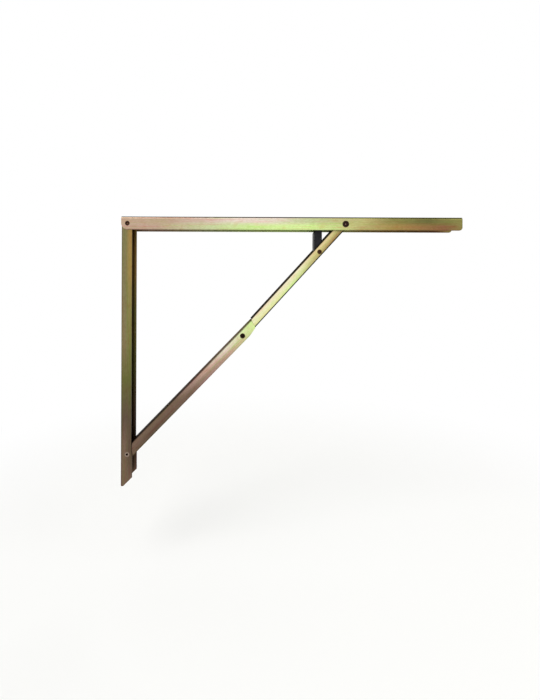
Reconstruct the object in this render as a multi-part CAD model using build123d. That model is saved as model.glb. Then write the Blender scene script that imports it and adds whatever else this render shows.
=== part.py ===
from build123d import *
from math import acos, asin, atan2, cos, degrees, hypot, radians, sin, sqrt
import os

# Folding shelf bracket, open and locked, in millimetres.
# X runs from the wall out along the shelf, Z is up, Y runs along the wall.
# The origin is on the wall plane, level with the corner pivot.
#
# Four pressed steel channels nest inside each other when the bracket folds:
# the arm is the widest, then the wall rail, the lower strut and the upper strut.

# ---- driving dimensions ----
# Pivot layout
RAIL_PIVOTS = 340.0       # corner pivot down to the foot pivot
ARM_PIVOTS = 320.0        # corner pivot out to the top pivot
OVER_CENTRE = 3.6         # how far the knee stands past the line of its two neighbours
PIVOT_INSET = 9.4         # wall plane to the rail's pivots
ARM_PIVOT_DROP = 10.2     # shelf plane down to the arm's pivots
LATCH_SETBACK = 55.0      # top pivot back along the upper strut to the latch pivot

# Channels
ARM_LENGTH = 500.0
ARM_WIDTH = 32.0
ARM_WALL = 2.0
RAIL_WALL = 1.5
LOWER_WALL = 1.5
UPPER_WALL = 1.5
RAIL_DEPTH = 15.6
LOWER_DEPTH = 15.1
BEND_RADIUS = 1.1         # inside the fold of every channel

# Clearances
SIDE_GAP = 0.4            # each side, between one channel and the next
FOLD_GAP = 0.4            # between neighbouring webs when folded
RUNNING_GAP = 0.06        # radial, a moving hole on its rivet
SEAT_GAP = 0.2            # a loose sleeve or stop beside a moving wall

# Rivets and sleeves
RIVET_RADIUS = 3.0
HEAD_RADIUS = 3.9         # flush countersunk heads
HEAD_SINK = 1.0
TOP_HEAD_RADIUS = 4.8     # raised head of the top rivet
TOP_HEAD_HEIGHT = 1.3
CUP_RADIUS = 2.0          # hollow in the end of each rivet
CUP_DEPTH = 2.2
SLEEVE_WALL = 1.2
LATCH_RIVET_RADIUS = 2.5
LATCH_HEAD_RADIUS = 3.6

# Foot of the rail
FOOT_DROP = 46.5          # foot pivot down to the end of the rail
FOOT_FLARE = 1.2          # extra depth of the side walls at the foot
FLARE_REACH = 4.0         # half the length over which the flare comes in
TAIL_DEPTH = 4.0          # side walls at the very end, below their slanted corner

# Tip of the arm
TIP_RADIUS = 4.6

# Knee end of the lower strut
LAP_LENGTH = 25.2         # web beyond the knee pivot, which the upper strut rests on
LAP_RAKE = 3.0
LAP_RIM_CUT = 2.5
LAP_RIM_LENGTH = 7.7
LAP_CLEAR = 1.0           # end of the lap to the full rim of the upper strut

# Fixing holes
WALL_HOLE_RADIUS = 3.5
WALL_HOLE_TOP = 44.0      # corner pivot down to the upper hole
WALL_HOLE_SPACING = 330.0
SHELF_HOLE_RADIUS = 2.75
SHELF_HOLE_FIRST = 50.0   # corner pivot out to the first hole
SHELF_HOLE_SPACING = 400.0

# Latch
LATCH_SHOULDER = 28.5     # pivot to the end of the straight back edge
LATCH_NOSE = 3.0          # flat at the nose
LATCH_CLEAR = 0.5         # nose to the arm's web as the bracket folds
LATCH_HEEL = 2.0          # back edge below the pivot
LATCH_ROUND = 0.7
SPRING_WIRE = 0.45        # wire radius
SPRING_TURNS = 3
SPRING_SIDES = 6          # flats of the drawn wire
SPRING_PITCH = 1.2
SPRING_LEG = 9.0
SPRING_GAP = 0.3          # around the coil

# ---- sizes that follow ----
RAIL_WIDTH = ARM_WIDTH - 2 * (ARM_WALL + SIDE_GAP)
LOWER_WIDTH = RAIL_WIDTH - 2 * (RAIL_WALL + SIDE_GAP)
UPPER_WIDTH = LOWER_WIDTH - 2 * (LOWER_WALL + SIDE_GAP)

# Each channel's web and open rim, measured square to its line of pivots
RAIL_WEB = PIVOT_INSET
RAIL_RIM = RAIL_DEPTH - RAIL_WEB
ARM_WEB = ARM_PIVOT_DROP
ARM_RIM = PIVOT_INSET - FOLD_GAP
LOWER_WEB = RAIL_WEB - RAIL_WALL - FOLD_GAP
LOWER_RIM = LOWER_DEPTH - LOWER_WEB
UPPER_WEB = LOWER_WEB - LOWER_WALL - FOLD_GAP
UPPER_RIM = ARM_WEB - ARM_WALL - FOLD_GAP
CROWN_RADIUS = ARM_WEB - ARM_WALL - FOLD_GAP
SLEEVE_RADIUS = RIVET_RADIUS + SLEEVE_WALL

# ---- pivots, as points in the X-Z plane ----
CORNER = (PIVOT_INSET, 0.0)
FOOT = (CORNER[0], CORNER[1] - RAIL_PIVOTS)
TOP = (CORNER[0] + ARM_PIVOTS, CORNER[1])


def heading(start, end):
    """Angle in degrees from +X towards +Z of the line from start to end."""
    return degrees(atan2(end[1] - start[1], end[0] - start[0]))


def along(start, angle, distance):
    """Point at a distance from start in a direction."""
    return (
        start[0] + distance * cos(radians(angle)),
        start[1] + distance * sin(radians(angle)),
    )


# The two struts differ in length by as much as the rail and the arm do, so they fold
# side by side. The knee lies on the hyperbola of that difference, past the centre line.
SPAN = hypot(TOP[0] - FOOT[0], TOP[1] - FOOT[1])
HALF_DIFFERENCE = (RAIL_PIVOTS - ARM_PIVOTS) / 2
HYPERBOLA_B = sqrt((SPAN / 2) ** 2 - HALF_DIFFERENCE**2)
KNEE_ALONG = SPAN / 2 + HALF_DIFFERENCE * sqrt(1 + (OVER_CENTRE / HYPERBOLA_B) ** 2)
LOWER_PIVOTS = hypot(KNEE_ALONG, OVER_CENTRE)
UPPER_PIVOTS = LOWER_PIVOTS - 2 * HALF_DIFFERENCE
LOWER_ANGLE = heading(FOOT, TOP) - degrees(atan2(OVER_CENTRE, KNEE_ALONG))
KNEE = along(FOOT, LOWER_ANGLE, LOWER_PIVOTS)
UPPER_ANGLE = heading(KNEE, TOP)
LATCH = along(TOP, UPPER_ANGLE, -LATCH_SETBACK)
BREAK_ANGLE = UPPER_ANGLE - LOWER_ANGLE

# Folded, the sleeve on the top rivet comes to rest on the rim of the lower strut.
FOLD_SHORT = degrees(asin((LOWER_RIM + SLEEVE_RADIUS + FOLD_GAP) / ARM_PIVOTS))
FOLD_ANGLE = 90 - FOLD_SHORT
TOP_FOLDED = along(CORNER, -FOLD_ANGLE, ARM_PIVOTS)
REACH = hypot(TOP_FOLDED[0] - FOOT[0], TOP_FOLDED[1] - FOOT[1])
FOOT_APEX = acos((LOWER_PIVOTS**2 + REACH**2 - UPPER_PIVOTS**2) / (2 * LOWER_PIVOTS * REACH))
LOWER_FOLDED = heading(FOOT, TOP_FOLDED) + degrees(FOOT_APEX)
KNEE_FOLDED = along(FOOT, LOWER_FOLDED, LOWER_PIVOTS)
UPPER_FOLDED = heading(KNEE_FOLDED, TOP_FOLDED)

# Turning angles from open to folded
FOOT_TRAVEL = LOWER_FOLDED - LOWER_ANGLE
KNEE_TRAVEL = (UPPER_ANGLE - UPPER_FOLDED) + FOOT_TRAVEL
TOP_TRAVEL = (UPPER_ANGLE - UPPER_FOLDED) - FOLD_ANGLE
LATCH_TRAVEL = 90 - UPPER_ANGLE


def side_plane(pivot, angle):
    """Working plane of one member: x along it, y square to it, z across it."""
    a = radians(angle)
    return Plane(origin=(pivot[0], 0, pivot[1]), x_dir=(cos(a), 0, sin(a)), z_dir=(0, -1, 0))


RAIL_PLANE = side_plane(CORNER, -90)
ARM_PLANE = side_plane(CORNER, 0)
LOWER_PLANE = side_plane(FOOT, LOWER_ANGLE)
UPPER_PLANE = side_plane(KNEE, UPPER_ANGLE)
TOP_PLANE = side_plane(TOP, 0)
LATCH_PLANE = side_plane(LATCH, 90)
SPRING_PLANE = side_plane(LATCH, UPPER_ANGLE)


def place(plane, body):
    return plane.location * body


def channel(start, end, web, rim, width, wall, flip=False):
    """Bent channel with its web on the lower side, or on the upper side if flipped."""
    depth = web + rim
    outer = Pos(0, (rim - web) / 2) * Rectangle(width, depth)
    outer = fillet(outer.vertices().group_by(Axis.Y)[0], BEND_RADIUS + wall)
    inner = Pos(0, (rim - web) / 2 + wall) * Rectangle(width - 2 * wall, depth)
    inner = fillet(inner.vertices().group_by(Axis.Y)[0], BEND_RADIUS)
    section = Plane(origin=(start, 0, 0), x_dir=(0, 0, -1), z_dir=(1, 0, 0)) * (outer - inner)
    body = extrude(section, end - start)
    return Rot(180, 0, 0) * body if flip else body


def trim(body, outline, width):
    """Cut the side walls of a channel to their outline."""
    return body & extrude(outline, width, both=True)


def cross_hole(distance, radius, width):
    return Pos(distance, 0, 0) * Cylinder(radius, width + 2)


def web_hole(distance, level, radius, wall):
    return Pos(distance, level, 0) * Rot(90, 0, 0) * Cylinder(radius, 4 * wall)


def tube(radius, bore, start, end):
    """Tube across the bracket between two distances from the mid-plane."""
    body = Cylinder(radius, end - start) - Cylinder(bore, end - start)
    return Pos(0, 0, (start + end) / 2) * body


def lathe(points):
    """Solid of revolution across the bracket from (radius, distance) points."""
    return revolve(Plane.XZ * make_face(Polyline(*points, close=True)), Axis.Z)


def flush_rivet(half, radius, head):
    """Rivet with a countersunk, cupped head at each end."""
    cup = radius * 0.65
    end = [
        (0, half - CUP_DEPTH),
        (cup * 0.6, half - CUP_DEPTH),
        (cup, half),
        (head, half),
        (radius, half - HEAD_SINK),
    ]
    return lathe(end + [(r, -y) for r, y in reversed(end)])


def raised_rivet(half):
    """Rivet with a rolled, hollow head standing proud of the arm at each end."""
    top = half + TOP_HEAD_HEIGHT
    end = [
        (0, top - CUP_DEPTH),
        (CUP_RADIUS * 0.6, top - CUP_DEPTH),
        (CUP_RADIUS, top),
        (TOP_HEAD_RADIUS - 0.7, top),
        (TOP_HEAD_RADIUS, half + 0.5 * TOP_HEAD_HEIGHT),
        (TOP_HEAD_RADIUS, half),
        (RIVET_RADIUS, half),
    ]
    return lathe(end + [(r, -y) for r, y in reversed(end)])


def stub_rivet(side):
    """Half rivet in one wall of the arm, flush outside and inside."""
    outer = ARM_WIDTH / 2
    inner = outer - ARM_WALL
    floor = outer - ARM_WALL * 0.6
    points = [
        (0, inner),
        (RIVET_RADIUS, inner),
        (RIVET_RADIUS, outer - 0.5 * HEAD_SINK),
        (RIVET_RADIUS + 0.5 * HEAD_SINK, outer),
        (CUP_RADIUS, outer),
        (CUP_RADIUS * 0.6, floor),
        (0, floor),
    ]
    return lathe([(r, side * y) for r, y in points])


# ---- wall rail ----
def rail_outline():
    meet = -sqrt(CROWN_RADIUS**2 - RAIL_RIM**2)
    middle = (degrees(atan2(RAIL_RIM, meet)) + 180) / 2
    end = RAIL_PIVOTS + FOOT_DROP
    flare = RAIL_RIM + FOOT_FLARE
    tail = TAIL_DEPTH - RAIL_WEB
    crown = ThreePointArc((-CROWN_RADIUS, 0), along((0, 0), middle, CROWN_RADIUS), (meet, RAIL_RIM))
    walls = Polyline(
        (meet, RAIL_RIM),
        (RAIL_PIVOTS - FLARE_REACH, RAIL_RIM),
        (RAIL_PIVOTS + FLARE_REACH, flare),
        (end - (flare - tail), flare),
        (end, tail),
        (end, -RAIL_WEB - 1),
        (-CROWN_RADIUS, -RAIL_WEB - 1),
        (-CROWN_RADIUS, 0),
    )
    return make_face(crown + walls)


def wall_rail():
    body = channel(
        -CROWN_RADIUS, RAIL_PIVOTS + FOOT_DROP, RAIL_WEB, RAIL_RIM + FOOT_FLARE, RAIL_WIDTH, RAIL_WALL
    )
    body = trim(body, rail_outline(), RAIL_WIDTH)
    for step in range(2):
        hole = WALL_HOLE_TOP + step * WALL_HOLE_SPACING
        body -= web_hole(hole, -RAIL_WEB, WALL_HOLE_RADIUS, RAIL_WALL)
    body -= Pos(RAIL_PIVOTS, 0, 0) * flush_rivet(RAIL_WIDTH / 2, RIVET_RADIUS, HEAD_RADIUS)
    for pivot in (0, RAIL_PIVOTS):
        body -= cross_hole(pivot, RIVET_RADIUS, RAIL_WIDTH)
    return place(RAIL_PLANE, body)


def corner_pin():
    return place(RAIL_PLANE, Cylinder(RIVET_RADIUS, RAIL_WIDTH))


def foot_rivet():
    rivet = flush_rivet(RAIL_WIDTH / 2, RIVET_RADIUS, HEAD_RADIUS)
    return place(RAIL_PLANE, Pos(RAIL_PIVOTS, 0, 0) * rivet)


def corner_sleeve():
    inner = RAIL_WIDTH / 2 - RAIL_WALL
    return place(RAIL_PLANE, tube(SLEEVE_RADIUS, RIVET_RADIUS, -inner, inner))


# ---- shelf arm ----
def arm_outline():
    tip = ARM_LENGTH - ARM_RIM
    heel = ThreePointArc((0, -ARM_RIM), along((0, 0), 225, ARM_RIM), (-ARM_RIM, 0))
    walls = Polyline(
        (-ARM_RIM, 0),
        (-ARM_RIM, ARM_WEB + 1),
        (tip, ARM_WEB + 1),
        (tip, -ARM_RIM),
        (0, -ARM_RIM),
    )
    face = make_face(heel + walls)
    return fillet(face.vertices().sort_by_distance((tip, -ARM_RIM, 0))[0], TIP_RADIUS)


def shelf_arm():
    body = channel(-ARM_RIM, ARM_LENGTH - ARM_RIM, ARM_WEB, ARM_RIM, ARM_WIDTH, ARM_WALL, flip=True)
    body = trim(body, arm_outline(), ARM_WIDTH)
    for step in range(2):
        hole = SHELF_HOLE_FIRST + step * SHELF_HOLE_SPACING
        body -= web_hole(hole, ARM_WEB, SHELF_HOLE_RADIUS, ARM_WALL)
    for side in (-1, 1):
        body -= stub_rivet(side)
        body -= Pos(0, 0, side * (ARM_WIDTH / 2)) * Cylinder(CUP_RADIUS, 3 * ARM_WALL)
    body -= cross_hole(ARM_PIVOTS, RIVET_RADIUS, ARM_WIDTH)
    return place(ARM_PLANE, body)


def corner_rivet(side):
    return place(ARM_PLANE, stub_rivet(side))


def top_rivet():
    return place(TOP_PLANE, raised_rivet(ARM_WIDTH / 2))


def top_spacer(side):
    near = UPPER_WIDTH / 2 + SEAT_GAP
    far = ARM_WIDTH / 2 - ARM_WALL
    ends = sorted((side * near, side * far))
    return place(TOP_PLANE, tube(SLEEVE_RADIUS, RIVET_RADIUS, ends[0], ends[1]))


# ---- lower strut ----
def lower_outline():
    lap = LOWER_PIVOTS + LAP_LENGTH
    low = (LOWER_WEB - LOWER_RIM) / 2
    radius = (LOWER_WEB + LOWER_RIM) / 2
    end = ThreePointArc((0, LOWER_WEB), (-radius, low), (0, -LOWER_RIM))
    walls = Polyline(
        (0, -LOWER_RIM),
        (LOWER_PIVOTS + LAP_RIM_LENGTH, -LOWER_RIM),
        (lap - LAP_RAKE, -LOWER_RIM + LAP_RIM_CUT),
        (lap, LOWER_WEB),
        (0, LOWER_WEB),
    )
    return make_face(end + walls)


def lower_strut():
    end = LOWER_PIVOTS + LAP_LENGTH
    body = channel(-LOWER_DEPTH, end, LOWER_WEB, LOWER_RIM, LOWER_WIDTH, LOWER_WALL, flip=True)
    body = trim(body, lower_outline(), LOWER_WIDTH)
    body -= cross_hole(0, RIVET_RADIUS + RUNNING_GAP, LOWER_WIDTH)
    body -= Pos(LOWER_PIVOTS, 0, 0) * flush_rivet(LOWER_WIDTH / 2, RIVET_RADIUS, HEAD_RADIUS)
    body -= cross_hole(LOWER_PIVOTS, RIVET_RADIUS, LOWER_WIDTH)
    return place(LOWER_PLANE, body)


def foot_sleeve():
    inner = LOWER_WIDTH / 2 - LOWER_WALL
    return place(LOWER_PLANE, tube(SLEEVE_RADIUS, RIVET_RADIUS + RUNNING_GAP, -inner, inner))


def knee_rivet():
    rivet = flush_rivet(LOWER_WIDTH / 2, RIVET_RADIUS, HEAD_RADIUS)
    return place(LOWER_PLANE, Pos(LOWER_PIVOTS, 0, 0) * rivet)


# ---- upper strut ----
def upper_outline():
    # Near the knee the rim is cut down so that it stops against the lap when locked.
    stop = LOWER_WEB - LOWER_WALL - SEAT_GAP - LAP_LENGTH * sin(radians(BREAK_ANGLE))
    rim = min(stop / cos(radians(BREAK_ANGLE)), UPPER_WEB - 0.1)
    step = LAP_LENGTH + LAP_CLEAR
    middle = (UPPER_RIM - UPPER_WEB) / 2
    radius = (UPPER_RIM + UPPER_WEB) / 2
    tail = ThreePointArc((-sqrt(UPPER_WEB**2 - rim**2), rim), (-UPPER_WEB, 0), (0, -UPPER_WEB))
    nose = ThreePointArc(
        (UPPER_PIVOTS, -UPPER_WEB), (UPPER_PIVOTS + radius, middle), (UPPER_PIVOTS, UPPER_RIM)
    )
    bottom = Line((0, -UPPER_WEB), (UPPER_PIVOTS, -UPPER_WEB))
    walls = Polyline(
        (UPPER_PIVOTS, UPPER_RIM),
        (step, UPPER_RIM),
        (step, rim),
        (-sqrt(UPPER_WEB**2 - rim**2), rim),
    )
    return make_face(tail + bottom + nose + walls)


def upper_strut():
    end = UPPER_PIVOTS + UPPER_RIM
    body = channel(-UPPER_WEB, end, UPPER_WEB, UPPER_RIM, UPPER_WIDTH, UPPER_WALL)
    body = trim(body, upper_outline(), UPPER_WIDTH)
    body -= cross_hole(0, RIVET_RADIUS + RUNNING_GAP, UPPER_WIDTH)
    body -= cross_hole(UPPER_PIVOTS, RIVET_RADIUS + RUNNING_GAP, UPPER_WIDTH)
    latch = UPPER_PIVOTS - LATCH_SETBACK
    body -= Pos(latch, 0, 0) * flush_rivet(UPPER_WIDTH / 2, LATCH_RIVET_RADIUS, LATCH_HEAD_RADIUS)
    body -= cross_hole(latch, LATCH_RIVET_RADIUS, UPPER_WIDTH)
    return place(UPPER_PLANE, body)


def upper_sleeve(pivot):
    """Sleeve inside the upper strut, small and short enough to clear its bends."""
    radius = UPPER_WEB - UPPER_WALL - SEAT_GAP
    inner = UPPER_WIDTH / 2 - UPPER_WALL - BEND_RADIUS / 2
    sleeve = tube(radius, RIVET_RADIUS + RUNNING_GAP, -inner, inner)
    return place(UPPER_PLANE, Pos(pivot, 0, 0) * sleeve)


def latch_rivet():
    return place(LATCH_PLANE, flush_rivet(UPPER_WIDTH / 2, LATCH_RIVET_RADIUS, LATCH_HEAD_RADIUS))


# ---- latch ----
LATCH_BOSS = UPPER_WEB - UPPER_WALL - SEAT_GAP
LATCH_BACK = UPPER_RIM - 0.1
LATCH_WIDTH = UPPER_WIDTH - 2 * (UPPER_WALL + FOLD_GAP)


def latch_reach():
    """Pivot to nose of the longest lever that clears the arm's web all through the fold."""
    room = ARM_WEB - ARM_WALL - LATCH_CLEAR
    nose = LATCH_NOSE - LATCH_BOSS
    reach = []
    for step in range(31):
        share = step / 45
        strut = radians(UPPER_ANGLE - share * TOP_TRAVEL)
        lever = radians(90 - share * (LATCH_TRAVEL + TOP_TRAVEL))
        reach.append((room + LATCH_SETBACK * sin(strut) - nose * cos(lever)) / sin(lever))
    return min(reach)


LATCH_LENGTH = latch_reach()
COIL_RADIUS = LATCH_RIVET_RADIUS + SPRING_WIRE + SPRING_GAP
COIL_TURNS = SPRING_TURNS + LATCH_TRAVEL / 360
COIL_LENGTH = SPRING_PITCH * COIL_TURNS
SLOT_WIDTH = COIL_LENGTH + 4 * SPRING_WIRE + 2 * SPRING_GAP


def latch_lever():
    face = make_face(
        Polyline(
            (0, -LATCH_BOSS),
            (LATCH_LENGTH, -LATCH_BOSS),
            (LATCH_LENGTH, -LATCH_BOSS + LATCH_NOSE),
            (LATCH_SHOULDER, LATCH_BACK),
            (-LATCH_HEEL, LATCH_BACK),
            (-LATCH_BOSS, 0),
            close=True,
        )
    )
    body = extrude(face, LATCH_WIDTH / 2, both=True)
    body = fillet(body.edges() - body.edges().filter_by(Axis.Z), LATCH_ROUND)
    body += Cylinder(LATCH_BOSS, LATCH_WIDTH - 2 * LATCH_ROUND)
    body -= cross_hole(0, LATCH_RIVET_RADIUS + RUNNING_GAP, LATCH_WIDTH)
    body -= Cylinder(COIL_RADIUS + SPRING_WIRE + SPRING_GAP, SLOT_WIDTH)
    # Groove that the spring's leg lies in
    seat = COIL_RADIUS - SPRING_WIRE
    groove = Box(SPRING_LEG + 2, LATCH_BOSS, SLOT_WIDTH)
    body -= Pos((SPRING_LEG + 2) / 2, -seat - LATCH_BOSS / 2, 0) * groove
    return place(LATCH_PLANE, body)


def latch_spring():
    """Torsion spring with one leg along the strut and one along the lever."""
    slope = atan2(SPRING_PITCH, 2 * 3.14159265 * COIL_RADIUS)
    turn = radians(LATCH_TRAVEL)
    half = COIL_LENGTH / 2
    first = Vector(COIL_RADIUS, 0, -half)
    first_way = Vector(0, cos(slope), sin(slope))
    last = Vector(COIL_RADIUS * cos(turn), COIL_RADIUS * sin(turn), half)
    last_way = Vector(-sin(turn) * cos(slope), cos(turn) * cos(slope), sin(slope))
    start = first - first_way * SPRING_LEG
    coil = Pos(0, 0, -half) * Helix(SPRING_PITCH, COIL_LENGTH, COIL_RADIUS)
    path = Wire([*Line(start, first).edges(), *coil.edges(), *Line(last, last + last_way * SPRING_LEG).edges()])
    wire = sweep(Plane(origin=start, z_dir=first_way) * RegularPolygon(SPRING_WIRE, SPRING_SIDES), path, is_frenet=True)
    return place(SPRING_PLANE, Rot(0, 0, -90) * wire)


def parts():
    return {
        "wall_rail": wall_rail(),
        "corner_pin": corner_pin(),
        "corner_sleeve": corner_sleeve(),
        "foot_rivet": foot_rivet(),
        "shelf_arm": shelf_arm(),
        "corner_rivet_front": corner_rivet(1),
        "corner_rivet_back": corner_rivet(-1),
        "top_rivet": top_rivet(),
        "top_spacer_front": top_spacer(1),
        "top_spacer_back": top_spacer(-1),
        "lower_strut": lower_strut(),
        "foot_sleeve": foot_sleeve(),
        "knee_rivet": knee_rivet(),
        "upper_strut": upper_strut(),
        "knee_sleeve": upper_sleeve(0),
        "top_sleeve": upper_sleeve(UPPER_PIVOTS),
        "latch_rivet": latch_rivet(),
        "latch_lever": latch_lever(),
        "latch_spring": latch_spring(),
    }


os.makedirs("parts", exist_ok=True)
for name, solid in parts().items():
    export_step(solid, "parts/" + name + ".step")
    print(name, "solids", len(solid.solids()), "volume", round(solid.volume, 1))

print("latch length", LATCH_LENGTH)
print("foot pivot", FOOT, "knee", KNEE, "top", TOP, "latch", LATCH)
print("travels: foot", FOOT_TRAVEL, "knee", KNEE_TRAVEL, "top", TOP_TRAVEL, "latch", LATCH_TRAVEL)
print("ratios:", FOOT_TRAVEL / KNEE_TRAVEL, TOP_TRAVEL / KNEE_TRAVEL, LATCH_TRAVEL / KNEE_TRAVEL)
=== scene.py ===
# %% [markdown]
# # A folding shelf bracket
# The bracket is four pressed steel channels that nest inside each other when it folds: an arm
# under the shelf, a rail on the wall and a strut in two halves that breaks at a knee. Rivets
# join them, and a black plastic latch lever sits in the upper half of the strut.
# The channels come from CAD and stay as they are. Here they get their finishes, the lever gets
# its grip, and the bracket is lit and looked at.

# %% Load the frame
import math

import bpy
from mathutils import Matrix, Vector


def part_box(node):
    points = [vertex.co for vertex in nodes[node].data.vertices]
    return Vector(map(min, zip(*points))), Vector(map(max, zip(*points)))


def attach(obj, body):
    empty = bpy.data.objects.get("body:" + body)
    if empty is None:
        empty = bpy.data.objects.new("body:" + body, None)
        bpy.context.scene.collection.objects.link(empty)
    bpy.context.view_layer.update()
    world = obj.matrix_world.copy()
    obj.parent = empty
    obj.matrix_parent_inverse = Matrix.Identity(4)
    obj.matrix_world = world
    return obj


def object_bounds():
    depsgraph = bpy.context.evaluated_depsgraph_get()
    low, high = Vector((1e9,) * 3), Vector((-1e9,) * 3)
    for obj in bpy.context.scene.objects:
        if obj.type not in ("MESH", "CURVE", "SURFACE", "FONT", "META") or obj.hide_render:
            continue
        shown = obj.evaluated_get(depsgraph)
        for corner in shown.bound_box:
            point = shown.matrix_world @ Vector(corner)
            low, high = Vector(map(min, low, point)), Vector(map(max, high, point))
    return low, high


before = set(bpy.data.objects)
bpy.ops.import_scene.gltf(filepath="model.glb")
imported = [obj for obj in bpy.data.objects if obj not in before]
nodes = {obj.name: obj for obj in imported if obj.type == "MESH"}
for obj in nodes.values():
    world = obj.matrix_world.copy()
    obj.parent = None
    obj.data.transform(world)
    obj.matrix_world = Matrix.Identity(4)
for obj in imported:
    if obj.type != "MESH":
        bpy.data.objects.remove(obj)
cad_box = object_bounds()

# %% [markdown]
# ## Small tools
# Colours are easiest to choose as the hex values that a paint chart gives. Blender's nodes
# work in linear light, so one function turns hex into linear. A second function adds a node,
# sets its properties and fills or links its inputs, which keeps each material short to read.


# %% Colour and node helpers
MM = 0.001


def paint(hex_value):
    """Linear colour with alpha from an sRGB hex value."""
    channels = [int(hex_value[i : i + 2], 16) / 255 for i in (1, 3, 5)]
    linear = [c / 12.92 if c <= 0.04045 else ((c + 0.055) / 1.055) ** 2.4 for c in channels]
    return (*linear, 1.0)


def add_node(tree, kind, inputs=None, **settings):
    """Add a node, set its properties, then link or fill its inputs."""
    node = tree.nodes.new(kind)
    for name, value in settings.items():
        setattr(node, name, value)
    for key, value in (inputs or {}).items():
        if isinstance(value, bpy.types.NodeSocket):
            tree.links.new(value, node.inputs[key])
        else:
            node.inputs[key].default_value = value
    return node


def new_material(name):
    """Empty node material with a Principled shader; returns material, tree and shader."""
    material = bpy.data.materials.new(name)
    material.use_nodes = True
    tree = material.node_tree
    tree.nodes.clear()
    shader = add_node(tree, "ShaderNodeBsdfPrincipled")
    add_node(tree, "ShaderNodeOutputMaterial", {"Surface": shader.outputs["BSDF"]})
    return material, tree, shader


def surface_of(tree, shader_node):
    """Send another shader to the material's output."""
    outputs = [node for node in tree.nodes if node.type == "OUTPUT_MATERIAL"]
    tree.links.new(shader_node.outputs["Shader"], outputs[0].inputs["Surface"])


def math_node(tree, operation, first, second=0.0, clamp=False):
    node = add_node(tree, "ShaderNodeMath", {0: first, 1: second}, operation=operation, use_clamp=clamp)
    return node.outputs[0]


def ramp(tree, value, stops):
    """Colour ramp from (position, hex) stops."""
    node = add_node(tree, "ShaderNodeValToRGB", {"Fac": value})
    elements = node.color_ramp.elements
    for position, colour in stops[1:-1]:
        elements.new(position).color = paint(colour)
    elements[0].position, elements[0].color = stops[0][0], paint(stops[0][1])
    elements[-1].position, elements[-1].color = stops[-1][0], paint(stops[-1][1])
    return node.outputs["Color"]


def blend_colours(tree, amount, first, second, how="MIX"):
    node = add_node(tree, "ShaderNodeMix", data_type="RGBA", blend_type=how)
    for index, value in ((0, amount), (6, first), (7, second)):
        if isinstance(value, bpy.types.NodeSocket):
            tree.links.new(value, node.inputs[index])
        else:
            node.inputs[index].default_value = value
    return node.outputs[2]


def step_between(tree, value, low, high):
    """0 below low, 1 above high, smooth between; low may lie above high."""
    node = add_node(
        tree,
        "ShaderNodeMapRange",
        {"Value": value, "From Min": low, "From Max": high},
        interpolation_type="SMOOTHSTEP",
    )
    return node.outputs["Result"]


print("Helpers ready; mid grey", [round(c, 3) for c in paint("#808080")])

# %% [markdown]
# ## Camera
# A wide lens close to the bracket shows the inner faces of the far walls as dark bands beside
# the near ones. The camera looks straight at the side of the bracket, level, and a small shift
# frames it without tilting, so that the uprights stay upright.

# %% Camera
SENSOR = 36.0
LENS = 20.29
NEAR_FACE = 576.5 * MM
SHIFT = (0.0383, -0.1110)
ROLL = -0.22

camera_data = bpy.data.cameras.new("camera")
camera = bpy.data.objects.new("camera", camera_data)
bpy.context.scene.collection.objects.link(camera)
bpy.context.scene.camera = camera
camera_data.sensor_width = SENSOR
camera_data.lens = LENS
camera_data.shift_x, camera_data.shift_y = SHIFT
camera_data.clip_start = 0.01
camera.location = (179.4 * MM, cad_box[0][1] - NEAR_FACE, -71.3 * MM)
camera.rotation_euler = (math.radians(90), math.radians(ROLL), 0)
print("Camera at", tuple(round(v, 3) for v in camera.location), "lens", round(camera_data.lens, 1))

# %% [markdown]
# ## Floor, world and light
# The bracket hangs over a pale floor. When it folds, the arm hangs down past the end of the
# rail, so the floor lies below the arm's reach. Far from the bracket it turns to the same white as
# the world, so no horizon shows, and near it the floor takes a soft shadow. Metal shows what it
# reflects, so the world is white for reflected rays too, but lights the scene more gently.

# %% Floor
FLOOR_DROP = 25 * MM
FLOOR_REACH = 6.0
FLOOR_CLEAR = (0.35, 0.9)

pin_low, pin_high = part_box("corner_pin")
arm_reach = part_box("shelf_arm")[1][0] - (pin_low[0] + pin_high[0]) / 2
floor_z = (pin_low[2] + pin_high[2]) / 2 - arm_reach - FLOOR_DROP
centre_x = (cad_box[0][0] + cad_box[1][0]) / 2
floor_mesh = bpy.data.meshes.new("floor")
floor_mesh.from_pydata(
    [(sx * FLOOR_REACH, sy * FLOOR_REACH, floor_z) for sx, sy in ((-1, -1), (1, -1), (1, 1), (-1, 1))],
    [],
    [(0, 1, 2, 3)],
)
floor = bpy.data.objects.new("floor", floor_mesh)
bpy.context.scene.collection.objects.link(floor)

floor_material, tree, shader = new_material("pale matt studio floor")
shader.inputs["Base Color"].default_value = paint("#F9F9F7")
shader.inputs["Roughness"].default_value = 0.9
place = add_node(tree, "ShaderNodeTexCoord").outputs["Object"]
offset = add_node(tree, "ShaderNodeVectorMath", {0: place, 1: (centre_x, 0, floor_z)}, operation="DISTANCE")
far = step_between(tree, offset.outputs["Value"], *FLOOR_CLEAR)
path = add_node(tree, "ShaderNodeLightPath")
seen = math_node(tree, "MAXIMUM", path.outputs["Is Camera Ray"], path.outputs["Is Glossy Ray"])
white = add_node(tree, "ShaderNodeEmission", {"Color": (1, 1, 1, 1), "Strength": 1.0})
mixed = add_node(
    tree,
    "ShaderNodeMixShader",
    {0: math_node(tree, "MULTIPLY", far, seen), 1: shader.outputs["BSDF"], 2: white.outputs["Emission"]},
)
surface_of(tree, mixed)
floor_mesh.materials.append(floor_material)
print("Floor at z", round(floor_z, 3))

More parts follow.
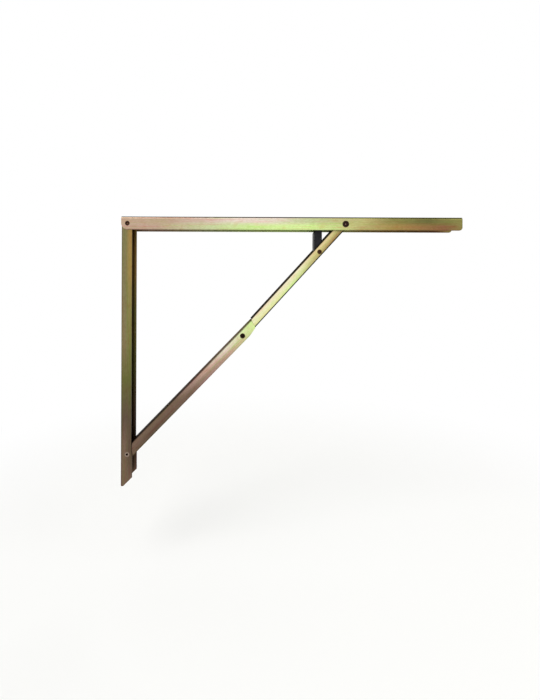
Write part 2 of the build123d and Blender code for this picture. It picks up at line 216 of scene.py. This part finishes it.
# %% [markdown]
# ## World and lamps
# Polished metal looks like the room around it, so the room matters more than the lamps do. The
# world is plain white where the camera or a reflection meets it, and a little dimmer as a light,
# which leaves the shaded faces their depth. Three large round lamps stand far off: a key from
# the upper left, a fill from the right and one behind. Their size keeps every shadow soft.

# %% World and lamps
WORLD_STRENGTH = 0.75

bpy.context.scene.view_settings.view_transform = "Standard"

world = bpy.data.worlds.new("soft white room")
bpy.context.scene.world = world
world.use_nodes = True
tree = world.node_tree
tree.nodes.clear()
path = add_node(tree, "ShaderNodeLightPath")
seen = math_node(tree, "MAXIMUM", path.outputs["Is Camera Ray"], path.outputs["Is Glossy Ray"])
seen = math_node(tree, "MAXIMUM", seen, path.outputs["Is Transmission Ray"])
dim = add_node(tree, "ShaderNodeBackground", {"Color": (1, 1, 1, 1), "Strength": WORLD_STRENGTH})
full = add_node(tree, "ShaderNodeBackground", {"Color": (1, 1, 1, 1), "Strength": 1.0})
both = add_node(
    tree,
    "ShaderNodeMixShader",
    {0: seen, 1: dim.outputs["Background"], 2: full.outputs["Background"]},
)
add_node(tree, "ShaderNodeOutputWorld", {"Surface": both.outputs["Shader"]})


def soft_lamp(name, place_at, aim_at, size, power):
    data = bpy.data.lights.new(name, "AREA")
    data.shape = "DISK"
    data.size = size
    data.energy = power
    lamp = bpy.data.objects.new(name, data)
    bpy.context.scene.collection.objects.link(lamp)
    lamp.location = place_at
    aim = [a - p for a, p in zip(aim_at, place_at)]
    length = math.sqrt(sum(a * a for a in aim))
    lamp.rotation_euler = (math.acos(-aim[2] / length), 0, math.atan2(aim[1], aim[0]) - math.radians(90))
    return lamp


aim_point = (centre_x, 0, -0.12)
soft_lamp("key lamp", (-0.5, -0.9, 1.2), aim_point, 0.9, 8)
soft_lamp("fill lamp", (1.4, -0.8, 0.7), aim_point, 0.9, 4)
soft_lamp("back lamp", (0.5, 1.2, 0.9), aim_point, 0.9, 4)
print("World and three lamps ready")

# %% [markdown]
# ## Yellow chromate over zinc
# The channels are pressed from strip steel, zinc plated and dipped in yellow chromate. The film
# is clear and less than a thousandth of a millimetre thick, so light from its two faces
# interferes and the metal turns straw, green, peach or mauve as the thickness drifts along the
# part. So each channel gets a colour ramp that runs along it, bent by a slow noise, with fine
# rolling lines, small blotches, and painted shade and dark reflection on the bends, rims and inside. The
# ramps need to know where each channel starts and which way it runs, so the pivots are read from the rivets
# that sit in them.


# %% Pivots and directions
def middle(node):
    """Centre of a rivet or sleeve, where its channel turns."""
    return tuple((a + b) / 2 for a, b in zip(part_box(node)[0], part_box(node)[1]))


corner = middle("corner_pin")
foot = middle("foot_rivet")
knee = middle("knee_rivet")
top = middle("top_rivet")
latch_pivot = middle("latch_rivet")


def spread(node, start, along_x, along_z):
    """How far a node reaches from start to each side in one direction, in mm."""
    reach = [
        ((v.co.x - start[0]) * along_x + (v.co.z - start[2]) * along_z) / MM
        for v in nodes[node].data.vertices
    ]
    return min(reach), max(reach)


def direction(start, end):
    """Angle above +X of the line from start to end, seen from the front."""
    return math.atan2(end[2] - start[2], end[0] - start[0])


def distance(start, end):
    return math.hypot(end[0] - start[0], end[2] - start[2])


print("Lower strut", round(distance(foot, knee) / MM, 1), "mm, upper", round(distance(knee, top) / MM, 1))

# %% [markdown]
# ## One recipe for all four channels
# The film drifts in bands as long as a hand, drains in blotches as wide as a thumb, and follows
# the lines that rolling left in the strip. Each of these is a noise, stretched to its size in
# millimetres. The rolling lines are finer than a step away can show, so they are drawn coarser.
# A painted picture could do the same, but it would fit one size of bracket only. Each material
# reads Object coordinates, turned so that X runs along its channel.

# %% Sizes and tints of the film
ROLLING_LINE = 0.5
BLOTCH = 14.0
GRAIN = 1.2
DRIFT = 70.0
STREAK = 1.8
BEND_REACH = 2.4
RIM_REACH = 2.0
RECESS_REACH = 8.0
WARM, COOL, SPECK = "#FBEDE8", "#F4FAEC", "#F2F0EC"
PINK_LINE, GREEN_LINE = "#FFE8E8", "#F0FFDC"
# Painted dark reflection and shade for the bends and rims, painted shade for deep inside the channels, and
# the metal's edge tint
EDGE_SHADE, RECESS_SHADE, EDGE_TINT = "#1E1810", "#B4A494", "#5A5142"
print("Film: bands of", DRIFT, "mm, blotches of", BLOTCH, "mm, rolling lines of", ROLLING_LINE, "mm")


# %% Coordinates and noise along a channel
def channel_coordinates(tree, start, angle):
    """Object coordinates in mm from start, with X along the channel and Z square to it."""
    place = add_node(tree, "ShaderNodeTexCoord").outputs["Object"]
    from_start = add_node(tree, "ShaderNodeVectorMath", {0: place, 1: start}, operation="SUBTRACT")
    turned = add_node(
        tree,
        "ShaderNodeMapping",
        {
            "Vector": from_start.outputs["Vector"],
            "Rotation": (0, angle, 0),
            "Scale": (1 / MM, 1 / MM, 1 / MM),
        },
    )
    return turned.outputs["Vector"]


def stretched(tree, vector, x, y, z):
    """Coordinates divided by a size in mm for each direction."""
    return add_node(
        tree, "ShaderNodeVectorMath", {0: vector, 1: (1 / x, 1 / y, 1 / z)}, operation="MULTIPLY"
    ).outputs["Vector"]


def noise(tree, vector, detail=2.0, seed=0.0):
    moved = add_node(tree, "ShaderNodeVectorMath", {0: vector, 1: (seed, seed, seed)}, operation="ADD")
    node = add_node(
        tree,
        "ShaderNodeTexNoise",
        {"Vector": moved.outputs["Vector"], "Scale": 1.0, "Detail": detail, "Roughness": 0.55},
    )
    return node.outputs["Fac"]


def shade_along(tree, colour, line, strength):
    """Darken a colour along a line mask: painted shade and dark reflection."""
    return blend_colours(tree, math_node(tree, "MULTIPLY", line, strength), colour, paint(EDGE_SHADE))


print("Noise along a channel ready")


# %% Chromate recipe
def chromate(name, node, start, angle, upper, lower, web_up, bend_shade, rim_shade, dull, seed):
    """Yellow chromate on one channel: two colour ramps along it, painted shade and dark reflection on the
    bends and rims, painted shade inside.
    """
    material, tree, shader = new_material(name)
    vector = channel_coordinates(tree, start, angle)
    axes = add_node(tree, "ShaderNodeSeparateXYZ", {"Vector": vector})
    along, depth, across = axes.outputs["X"], axes.outputs["Y"], axes.outputs["Z"]
    first, last = spread(node, start, math.cos(angle), math.sin(angle))
    below, above = spread(node, start, -math.sin(angle), math.cos(angle))
    half_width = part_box(node)[1][1] / MM

    # Slow drift bends the colour bands, so no band ends in a straight line
    drift = noise(tree, stretched(tree, vector, DRIFT, DRIFT, DRIFT / 3), 3.0, seed)
    shift = math_node(tree, "MULTIPLY", math_node(tree, "SUBTRACT", drift, 0.5), 0.10)
    from_end = math_node(tree, "SUBTRACT", along, first)
    share = math_node(tree, "ADD", math_node(tree, "DIVIDE", from_end, last - first), shift, clamp=True)
    split = step_between(tree, across, 4.0, -4.0)
    colour = blend_colours(tree, split, ramp(tree, share, upper), ramp(tree, share, lower))

    # Blotches where the bath drained unevenly, streaks and grain from the rolled strip
    blotch = noise(tree, stretched(tree, vector, BLOTCH, BLOTCH, BLOTCH / 2), 2.0, seed + 7)
    streak = noise(tree, stretched(tree, vector, STREAK * 40, STREAK, STREAK), 2.0, seed + 11)
    grain = noise(tree, stretched(tree, vector, GRAIN * 3, GRAIN, GRAIN), 2.0, seed + 3)
    for mask, low_end, high_end, tint in (
        (blotch, 0.5, 0.8, WARM),
        (blotch, 0.5, 0.2, COOL),
        (streak, 0.5, 0.7, PINK_LINE),
        (streak, 0.5, 0.3, GREEN_LINE),
        (grain, 0.7, 0.3, SPECK),
    ):
        veil = blend_colours(tree, step_between(tree, mask, low_end, high_end), (1, 1, 1, 1), paint(tint))
        colour = blend_colours(tree, 1.0, colour, veil, "MULTIPLY")

    # Height runs from the open rim, at rim, to the outside of the web, at web
    web, rim = (above, below) if web_up else (-below, -above)
    height = across if web_up else math_node(tree, "MULTIPLY", across, -1.0)
    width = math_node(tree, "ABSOLUTE", depth)

    # Painted shade inside the channel, darkest deep in it and none at the open rim
    hollow = step_between(tree, width, half_width - 0.6, half_width - 1.3)
    deep = step_between(tree, height, rim, rim + RECESS_REACH)
    inside = math_node(tree, "MULTIPLY", hollow, deep)
    colour = blend_colours(tree, inside, colour, blend_colours(tree, 1.0, colour, paint(RECESS_SHADE), "MULTIPLY"))

    # Painted dark reflection and shade where the sheet is bent, along the sheared rim and at the far end
    near_side = step_between(tree, width, half_width - 3.0, half_width - 1.4)
    near_web = step_between(tree, height, web - BEND_REACH, web - BEND_REACH / 2)
    near_rim = step_between(tree, height, rim + RIM_REACH, rim + RIM_REACH / 2)
    near_end = step_between(tree, along, last - RIM_REACH, last - RIM_REACH / 3)
    colour = shade_along(tree, colour, math_node(tree, "MULTIPLY", near_web, near_side), bend_shade)
    colour = shade_along(tree, colour, math_node(tree, "MAXIMUM", near_rim, near_end), rim_shade)
    tree.links.new(colour, shader.inputs["Base Color"])

    lines = noise(tree, stretched(tree, vector, 60, ROLLING_LINE, ROLLING_LINE), 2.0, seed + 5)
    worn = math_node(
        tree, "ADD", math_node(tree, "MULTIPLY", blotch, 0.6), math_node(tree, "MULTIPLY", lines, 0.4)
    )
    rough = add_node(
        tree,
        "ShaderNodeMapRange",
        {"Value": worn, "From Min": 0.3, "From Max": 0.7, "To Min": 0.28, "To Max": 0.40},
    )
    tree.links.new(rough.outputs["Result"], shader.inputs["Roughness"])
    chalky = math_node(tree, "MULTIPLY", math_node(tree, "SUBTRACT", hollow, inside), dull)
    tree.links.new(math_node(tree, "SUBTRACT", 0.95, chalky), shader.inputs["Metallic"])
    shader.inputs["Specular Tint"].default_value = paint(EDGE_TINT)
    relief = add_node(
        tree,
        "ShaderNodeBump",
        {"Height": math_node(tree, "ADD", lines, grain), "Strength": 0.08, "Distance": 0.02 * MM},
    )
    tree.links.new(relief.outputs["Normal"], shader.inputs["Normal"])
    return material


print("Chromate recipe ready")

# %% [markdown]
# ## The colour bands
# A thin film looks pale straw or cream. As it thickens it turns rose, then green, and the parts
# that stayed longest in the bath end up tan, olive and brown. Every colour is named here once,
# and each side of each channel takes a few of them in order, so the bands are easy to move.
# How light or dark the bands run along each channel is partly painted reflection of the room, laid over the
# film's own colours.

# %% Bands on each channel
# Colours that the film takes as it thickens, from the thin pale end to the thick brown end; along the
# channels they also carry painted reflection
CREAM, BLUSH, PRIMROSE, LIME = "#FAF4D0", "#F0E2D4", "#F0F0B0", "#E0FAA8"
SAGE, BUFF, ROSE, STRAW = "#D0D8A8", "#E8D4A0", "#C8AC98", "#C4BE80"
TAN, MAUVE, DRAB, OLIVE = "#A88C54", "#A88A80", "#88805C", "#8C8850"
UMBER, MOSS, BARK, RUST = "#7C6658", "#6E6C40", "#665648", "#8C6448"

ARM_UPPER = (
    (0.0, ROSE), (0.15, ROSE), (0.35, BLUSH), (0.45, BLUSH), (0.55, SAGE), (0.7, STRAW), (0.8, OLIVE),
    (0.9, MOSS), (1.0, OLIVE),
)
ARM_LOWER = (
    (0.0, ROSE), (0.1, ROSE), (0.25, SAGE), (0.45, LIME), (0.55, LIME), (0.7, STRAW), (0.8, TAN),
    (0.95, RUST), (1.0, OLIVE),
)
RAIL_RIGHT = ((0.0, TAN), (0.2, TAN), (0.35, OLIVE), (0.6, MOSS), (0.75, BARK), (0.9, BARK), (1.0, UMBER))
RAIL_LEFT = ((0.0, DRAB), (0.45, DRAB), (0.6, MOSS), (0.75, BARK), (0.85, UMBER), (1.0, UMBER))
LOWER_LEFT = ((0.0, UMBER), (0.4, UMBER), (0.55, MAUVE), (0.65, ROSE), (0.8, BLUSH), (1.0, LIME))
LOWER_RIGHT = ((0.0, UMBER), (0.2, BARK), (0.5, UMBER), (0.65, MAUVE), (0.8, ROSE), (1.0, LIME))
UPPER_LEFT = ((0.0, CREAM), (0.55, CREAM), (0.7, BUFF), (0.85, BUFF), (1.0, STRAW))
UPPER_RIGHT = ((0.0, LIME), (0.2, PRIMROSE), (0.45, LIME), (0.65, STRAW), (0.85, TAN), (1.0, OLIVE))

# Node, start and angle of its line, colours on each side of it, web on the upper side,
# strength of the painted shade on the bends and on the rim, chalkiness inside by the rim, seed of its noise
CHANNELS = (
    ("shelf_arm", corner, 0.0, ARM_UPPER, ARM_LOWER, True, 1.0, 0.12, 0.0, 1.0),
    ("wall_rail", corner, math.radians(-90), RAIL_RIGHT, RAIL_LEFT, False, 0.25, 0.12, 0.9, 2.0),
    ("lower_strut", foot, direction(foot, knee), LOWER_LEFT, LOWER_RIGHT, True, 0.7, 0.2, 0.0, 3.0),
    ("upper_strut", knee, direction(knee, top), UPPER_LEFT, UPPER_RIGHT, False, 1.0, 1.0, 0.0, 4.0),
)


def dress(node, material):
    """Give a CAD node one material."""
    mesh = nodes[node].data
    mesh.materials.clear()
    mesh.materials.append(material)


for node, *recipe in CHANNELS:
    finish = chromate("yellow chromate on pressed steel, " + node.replace("_", " "), node, *recipe)
    dress(node, finish)
    print(node, "wears", finish.name)

# %% [markdown]
# ## Rivets and sleeves
# The rivets are plated before they are set. Each rivet's colour is a ramp on the distance from
# its own axis, with painted shade in the cup, so the rim, the ring and the cup read as separate
# rings from a step away.


# %% Rivet finish
def rivet_plating(name, axis, rings):
    """Plating with painted shade in its cup; rings are (distance from the axis in mm, hex)."""
    material, tree, shader = new_material(name)
    place = add_node(tree, "ShaderNodeTexCoord").outputs["Object"]
    flat = add_node(tree, "ShaderNodeVectorMath", {0: place, 1: (1, 0, 1)}, operation="MULTIPLY")
    offset = add_node(
        tree,
        "ShaderNodeVectorMath",
        {0: flat.outputs["Vector"], 1: (axis[0], 0, axis[2])},
        operation="DISTANCE",
    )
    reach = rings[-1][0]
    share = math_node(tree, "DIVIDE", offset.outputs["Value"], reach * MM)
    colour = ramp(tree, share, [(ring / reach, colour) for ring, colour in rings])
    spots = noise(tree, stretched(tree, place, 0.8 * MM, 0.8 * MM, 0.8 * MM), 3.0, reach)
    worn = blend_colours(tree, step_between(tree, spots, 0.3, 0.75), paint("#B8B0A2"), (1, 1, 1, 1))
    tree.links.new(blend_colours(tree, 1.0, colour, worn, "MULTIPLY"), shader.inputs["Base Color"])
    rough = add_node(tree, "ShaderNodeMapRange", {"Value": spots, "To Min": 0.32, "To Max": 0.55})
    tree.links.new(rough.outputs["Result"], shader.inputs["Roughness"])
    shader.inputs["Metallic"].default_value = 0.9
    return material


# Painted shade at the bottom of a cup, and a light ring on the foot rivet
CUP_SHADE, LIGHT_RING = "#34211A", "#B8A498"
FLUSH_RINGS = ((0.0, CUP_SHADE), (3.2, CUP_SHADE), (4.0, MOSS))
CORNER_RINGS = ((0.0, RUST), (2.6, CUP_SHADE), (4.0, UMBER))
FOOT_RINGS = ((0.0, CUP_SHADE), (1.3, BARK), (2.0, LIGHT_RING), (2.8, LIGHT_RING), (4.0, BARK))
LATCH_RINGS = ((0.0, RUST), (2.4, CUP_SHADE), (4.0, TAN))
TOP_RINGS = ((0.0, MAUVE), (2.2, CUP_SHADE), (3.8, CUP_SHADE), (5.0, BARK))

for node, axis, rings in (
    ("corner_pin", corner, CORNER_RINGS),
    ("corner_sleeve", corner, FLUSH_RINGS),
    ("corner_rivet_front", corner, CORNER_RINGS),
    ("corner_rivet_back", corner, CORNER_RINGS),
    ("foot_rivet", foot, FOOT_RINGS),
    ("foot_sleeve", foot, FLUSH_RINGS),
    ("knee_rivet", knee, FLUSH_RINGS),
    ("knee_sleeve", knee, FLUSH_RINGS),
    ("top_rivet", top, TOP_RINGS),
    ("top_sleeve", top, FLUSH_RINGS),
    ("top_spacer_front", top, FLUSH_RINGS),
    ("top_spacer_back", top, FLUSH_RINGS),
    ("latch_rivet", latch_pivot, LATCH_RINGS),
):
    dress(node, rivet_plating("plating with painted shade on " + node.replace("_", " "), axis, rings))
print("Rivets and sleeves wear plating with painted shade")

# %% [markdown]
# ## Latch lever and its spring
# The lever is moulded in black glass-filled nylon. Moulding leaves a fine, even, slightly glossy
# texture that scuffs grey at the edges a thumb rubs. The spring is bright drawn wire with faint
# lines along it from the drawing die.


# %% Black nylon
def moulded_nylon(name):
    material, tree, shader = new_material(name)
    place = add_node(tree, "ShaderNodeTexCoord").outputs["Object"]
    texture = noise(tree, stretched(tree, place, 0.4 * MM, 0.4 * MM, 0.4 * MM), 3.0)
    cloud = noise(tree, stretched(tree, place, 9 * MM, 9 * MM, 9 * MM), 3.0, 4.0)
    colour = blend_colours(tree, step_between(tree, cloud, 0.35, 0.7), paint("#100F14"), paint("#1C1B22"))
    tree.links.new(colour, shader.inputs["Base Color"])
    rough = add_node(tree, "ShaderNodeMapRange", {"Value": cloud, "To Min": 0.38, "To Max": 0.56})
    tree.links.new(rough.outputs["Result"], shader.inputs["Roughness"])
    shader.inputs["IOR"].default_value = 1.53
    shader.inputs["Specular IOR Level"].default_value = 0.2
    relief = add_node(tree, "ShaderNodeBump", {"Height": texture, "Strength": 0.25, "Distance": 0.05 * MM})
    tree.links.new(relief.outputs["Normal"], shader.inputs["Normal"])
    return material


nylon = moulded_nylon("black glass-filled nylon, moulded")
dress("latch_lever", nylon)


def drawn_wire(name):
    material, tree, shader = new_material(name)
    place = add_node(tree, "ShaderNodeTexCoord").outputs["Object"]
    marks = noise(tree, stretched(tree, place, 0.3 * MM, 0.3 * MM, 0.3 * MM), 2.0)
    colour = blend_colours(tree, marks, paint("#8C8C90"), paint("#B4B4B6"))
    tree.links.new(colour, shader.inputs["Base Color"])
    shader.inputs["Metallic"].default_value = 1.0
    shader.inputs["Roughness"].default_value = 0.3
    return material


dress("latch_spring", drawn_wire("spring steel, drawn wire"))
print("Lever and spring dressed")

# %% [markdown]
# ## Grip on the lever
# Small half-round ribs cross the lever's back edge where a thumb presses it. They repeat at one
# spacing, which is what Geometry Nodes do well: a line of points, one rib put on each point, and
# the copies made real at the end. The sizes are named inputs, so the grip can be tuned.

# %% Rib tree
RIB_SPACING = 2.4 * MM
RIB_RADIUS = 0.32 * MM
RIB_COUNT = 8
RIB_CORNERS = 10


def rib_tree(material):
    """Node group that lays ribs of one size along a line of points."""
    tree = bpy.data.node_groups.new("grip ribs", "GeometryNodeTree")
    sockets = {}
    for name, kind in (
        ("Start", "NodeSocketVector"),
        ("Step", "NodeSocketVector"),
        ("Count", "NodeSocketInt"),
        ("Rib Length", "NodeSocketFloat"),
        ("Rib Radius", "NodeSocketFloat"),
    ):
        sockets[name] = tree.interface.new_socket(name, in_out="INPUT", socket_type=kind).identifier
    tree.interface.new_socket("Geometry", in_out="OUTPUT", socket_type="NodeSocketGeometry")
    given = add_node(tree, "NodeGroupInput")
    line = add_node(
        tree,
        "GeometryNodeMeshLine",
        {
            "Count": given.outputs["Count"],
            "Start Location": given.outputs["Start"],
            "Offset": given.outputs["Step"],
        },
        mode="OFFSET",
    )
    bar = add_node(
        tree,
        "GeometryNodeMeshCylinder",
        {
            "Vertices": RIB_CORNERS,
            "Radius": given.outputs["Rib Radius"],
            "Depth": given.outputs["Rib Length"],
        },
    )
    laid = add_node(
        tree,
        "GeometryNodeTransform",
        {"Geometry": bar.outputs["Mesh"], "Rotation": (math.radians(90), 0, 0)},
    )
    copies = add_node(
        tree,
        "GeometryNodeInstanceOnPoints",
        {"Points": line.outputs["Mesh"], "Instance": laid.outputs["Geometry"]},
    )
    real = add_node(tree, "GeometryNodeRealizeInstances", {"Geometry": copies.outputs["Instances"]})
    finished = add_node(
        tree, "GeometryNodeSetMaterial", {"Geometry": real.outputs["Geometry"], "Material": material}
    )
    add_node(tree, "NodeGroupOutput", {"Geometry": finished.outputs["Geometry"]})
    return tree, sockets


ribs_group, ribs_sockets = rib_tree(nylon)
print("Rib tree inputs:", ", ".join(ribs_sockets))

# %% Ribs on the lever
lever_low, lever_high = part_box("latch_lever")
rib_face = lever_low[0]
rib_values = {
    "Start": (rib_face + RIB_RADIUS * 0.1, 0, latch_pivot[2] + 5 * MM),
    "Step": (0, 0, RIB_SPACING),
    "Count": RIB_COUNT,
    "Rib Length": (lever_high[1] - lever_low[1]) - 3 * MM,
    "Rib Radius": RIB_RADIUS,
}


def solid_from(tree, sockets, values, name):
    """Run a node group once and keep its result as a plain mesh object."""
    holder = bpy.data.objects.new(name, bpy.data.meshes.new(name + " seed"))
    bpy.context.scene.collection.objects.link(holder)
    modifier = holder.modifiers.new(name, "NODES")
    modifier.node_group = tree
    for key, value in values.items():
        modifier[sockets[key]] = value
    graph = bpy.context.evaluated_depsgraph_get()
    mesh = bpy.data.meshes.new_from_object(holder.evaluated_get(graph), depsgraph=graph)
    holder.modifiers.remove(modifier)
    holder.data = mesh
    for slot in reversed(range(len(mesh.materials))):
        if mesh.materials[slot] is None:
            mesh.materials.pop(index=slot)
    return holder


grip = solid_from(ribs_group, ribs_sockets, rib_values, "latch_grip_ribs")
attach(grip, "latch")
print("Grip:", len(grip.data.vertices), "vertices, material", grip.data.materials[0].name)

# %% [markdown]
# ## Finish

# %% The end
print("Bracket dressed and lit")
